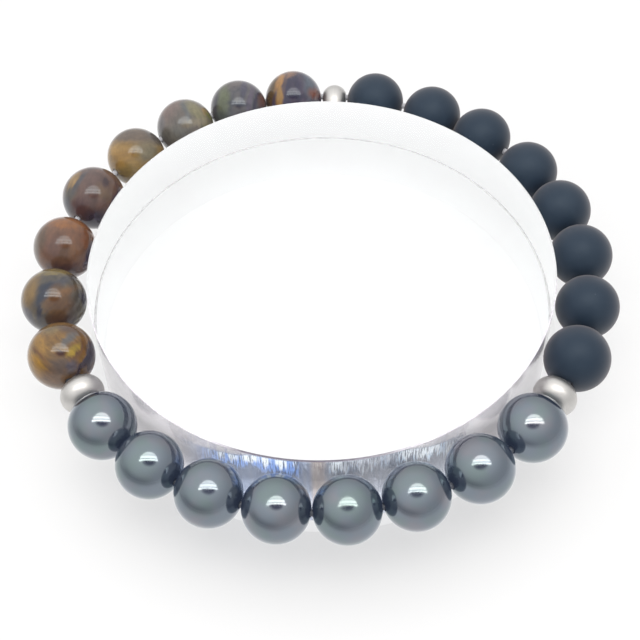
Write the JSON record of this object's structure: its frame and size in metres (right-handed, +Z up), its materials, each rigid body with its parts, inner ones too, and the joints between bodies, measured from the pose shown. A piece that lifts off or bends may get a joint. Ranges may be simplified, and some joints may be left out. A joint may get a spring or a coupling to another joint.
{
  "type": "beaded bracelet on a clear display disc",
  "caption": "Stretch bracelet of round stone beads in three runs, tiger eye, matte onyx and hematite, parted by small steel spacers and held round a plain clear disc.",
  "frame": {"origin": "centre of the display disc's bottom face, on the surface that it stands on", "axes": "+Z up through the loop of beads, -Y towards the hematite run, -X towards the tiger eye run"},
  "size_m": [0.0759, 0.0756, 0.0142],
  "materials": {
    "tiger_eye": "polished, banded golden brown, red brown and grey blue",
    "hematite": "mirror-polished gunmetal grey",
    "matte_onyx": "frosted matte black",
    "satin_steel": "satin stainless",
    "clear_elastic": "clear elastic, slightly milky",
    "clear_acrylic": "clear, polished faces with a finely striated cut rim"
  },
  "bodies": {
    "root": {"tiger_eye_bead_1": "tiger_eye", "tiger_eye_bead_2": "tiger_eye", "tiger_eye_bead_3": "tiger_eye", "tiger_eye_bead_4": "tiger_eye", "tiger_eye_bead_5": "tiger_eye", "tiger_eye_bead_6": "tiger_eye", "tiger_eye_bead_7": "tiger_eye", "tiger_eye_bead_8": "tiger_eye", "hematite_bead_1": "hematite", "hematite_bead_2": "hematite", "hematite_bead_3": "hematite", "hematite_bead_4": "hematite", "hematite_bead_5": "hematite", "hematite_bead_6": "hematite", "hematite_bead_7": "hematite", "hematite_bead_8": "hematite", "onyx_bead_1": "matte_onyx", "onyx_bead_2": "matte_onyx", "onyx_bead_3": "matte_onyx", "onyx_bead_4": "matte_onyx", "onyx_bead_5": "matte_onyx", "onyx_bead_6": "matte_onyx", "onyx_bead_7": "matte_onyx", "onyx_bead_8": "matte_onyx", "steel_spacer_1": "satin_steel", "steel_spacer_2": "satin_steel", "steel_spacer_3": "satin_steel", "elastic_thread": "clear_elastic", "display_disc": "clear_acrylic"}
  },
  "joints": []
}
